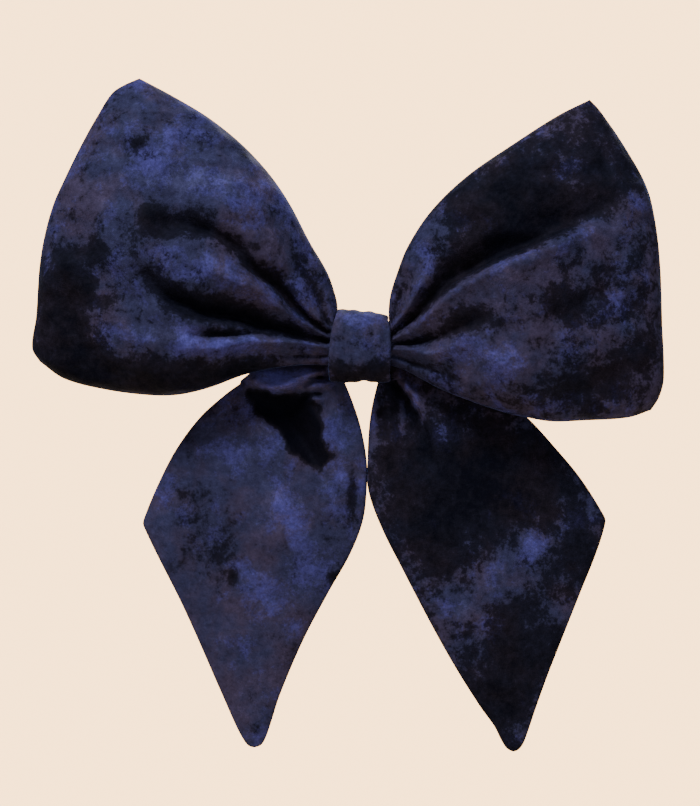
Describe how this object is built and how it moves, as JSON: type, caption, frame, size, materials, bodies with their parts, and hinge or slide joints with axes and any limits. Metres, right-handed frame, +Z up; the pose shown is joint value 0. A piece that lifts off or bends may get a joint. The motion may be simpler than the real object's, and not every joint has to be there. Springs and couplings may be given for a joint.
{
  "type": "hair bow",
  "caption": "Large crushed-velvet hair bow: two puffed loops, a wrapped knot and two pointed tails on a spring hair clip.",
  "frame": {"origin": "middle of the barrette's hair gap, behind the knot", "axes": "+Z up along the hanging tails, -Y out of the bow's front, +Y towards the wearer's head, +X to the viewer's right"},
  "size_m": [0.25, 0.0522, 0.2675],
  "materials": {
    "velvet": "crushed velvet, navy, with a soft sheen",
    "thread": "polyester sewing thread, navy",
    "wadding": "polyester wadding, off-white",
    "interfacing": "non-woven interfacing, off-white",
    "barrette_steel": "nickel-plated spring steel"
  },
  "bodies": {
    "bow": {"loops_front_panel": "velvet", "loops_back_panel": "velvet", "loops_wadding": "wadding", "left_tail_gathered_head": "velvet", "right_tail_gathered_head": "velvet", "knot_wrap": "velvet", "gathering_thread": "thread", "wrap_stitches": "thread", "barrette_base": "barrette_steel", "barrette_spring_leaf": "barrette_steel", "barrette_hinge_pin": "barrette_steel", "barrette_catch_seat": "barrette_steel", "barrette_catch_rivet": "barrette_steel"},
    "left_tail": {"left_tail_front_panel": "velvet", "left_tail_back_panel": "velvet", "left_tail_interfacing": "interfacing"},
    "right_tail": {"right_tail_front_panel": "velvet", "right_tail_back_panel": "velvet", "right_tail_interfacing": "interfacing"},
    "arm": {"barrette_arm": "barrette_steel"},
    "upper_lever": {"catch_lever_upper": "barrette_steel"},
    "lower_lever": {"catch_lever_lower": "barrette_steel"}
  },
  "joints": [
    {"name": "left_tail_swing", "type": "hinge", "parent": "bow", "child": "left_tail", "pos_m": [-0.027, -0.0096, -0.015], "axis": [1, 0, 0], "range_deg": [-15, 30]},
    {"name": "right_tail_swing", "type": "hinge", "parent": "bow", "child": "right_tail", "pos_m": [0.027, -0.0096, -0.015], "axis": [1, 0, 0], "range_deg": [-15, 30]},
    {"name": "arm_hinge", "type": "hinge", "parent": "bow", "child": "arm", "pos_m": [-0.0385, 0.0057, 0], "axis": [0, 0, 1], "range_deg": [0, 100]},
    {"name": "upper_lever_squeeze", "type": "hinge", "parent": "bow", "child": "upper_lever", "pos_m": [0.038, -0.0005, 0.0033], "axis": [1, 0, 0], "range_deg": [-6, 0], "stiffness_Nm_per_rad": 0.02},
    {"name": "lower_lever_squeeze", "type": "hinge", "parent": "bow", "child": "lower_lever", "pos_m": [0.038, -0.0005, -0.0033], "axis": [1, 0, 0], "range_deg": [0, 6], "stiffness_Nm_per_rad": 0.02}
  ],
  "couplings": [
    {"joint": "lower_lever_squeeze", "follows": "upper_lever_squeeze", "ratio": -1}
  ]
}
